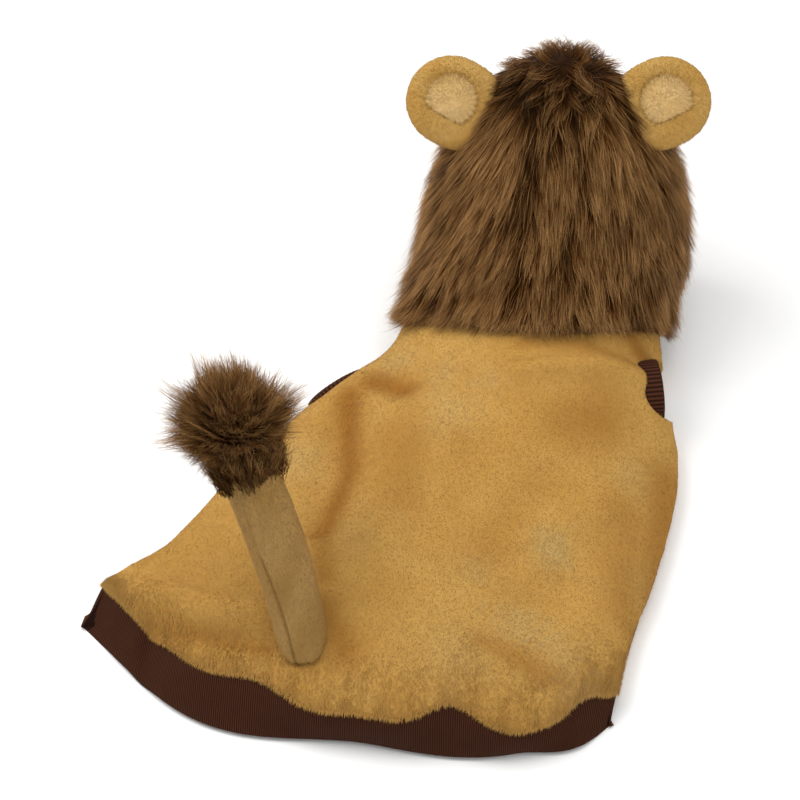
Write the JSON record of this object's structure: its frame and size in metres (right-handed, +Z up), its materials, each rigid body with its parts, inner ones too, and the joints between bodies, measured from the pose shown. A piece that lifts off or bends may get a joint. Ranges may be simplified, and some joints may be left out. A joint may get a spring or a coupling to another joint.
{
  "type": "pet lion costume",
  "caption": "Plush pet costume lying back up: golden vest, brown mane hood with stuffed ears, rib-knit hem and leg trims, and a stuffed tail with a fur tuft.",
  "frame": {"origin": "middle of the underside of the whole costume, which lies on its belly", "axes": "+Z up, +Y from the hem towards the face opening, +X to the wearer's right"},
  "size_m": [0.373, 0.4174, 0.1761],
  "materials": {
    "plush": "short-pile golden plush",
    "fur": "long brown faux fur",
    "rib_knit": "dark brown rib knit",
    "ear_plush": "short-pile tan plush",
    "tail_plush": "pale short-pile plush"
  },
  "bodies": {
    "root": {"vest_body": "plush", "hem_band": "rib_knit", "left_cuff": "rib_knit", "right_cuff": "rib_knit", "hood": "fur", "ear_left": "ear_plush", "ear_right": "ear_plush", "ear_left_inner": "ear_plush", "ear_right_inner": "ear_plush", "tail": "tail_plush", "tail_tuft": "fur"}
  },
  "joints": []
}
